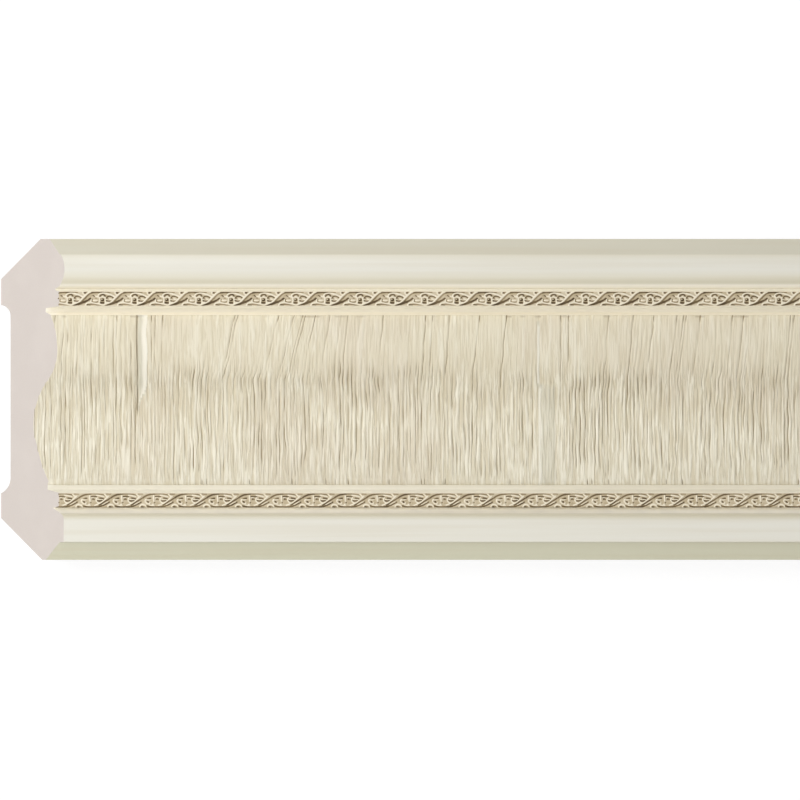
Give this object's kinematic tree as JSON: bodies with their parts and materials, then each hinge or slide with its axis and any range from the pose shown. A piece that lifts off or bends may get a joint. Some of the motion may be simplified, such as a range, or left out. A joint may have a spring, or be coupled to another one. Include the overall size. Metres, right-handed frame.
{
  "type": "cornice moulding",
  "caption": "Wide cornice moulding with a grained S-curved field between scrolled ornament bands, mitred at one end, for the corner of wall and ceiling.",
  "frame": {"origin": "under the middle of the moulding's box, level with its two back lands", "axes": "+X along the stock away from the mitred end, +Y across the face towards the ceiling edge, +Z out of the moulded face"},
  "size_m": [2, 0.1604, 0.0321],
  "materials": {
    "ivory_paint": "satin ivory paint on moulded polystyrene foam",
    "grained_field": "satin cream paint over a brushed wood grain with faint antique glaze",
    "antique_ornament": "cream paint with brown antique glaze wiped into the recesses",
    "foam_end": "bare cut foam, dull pinkish beige"
  },
  "bodies": {
    "root": {"cornice_moulding": "ivory_paint"}
  },
  "joints": []
}
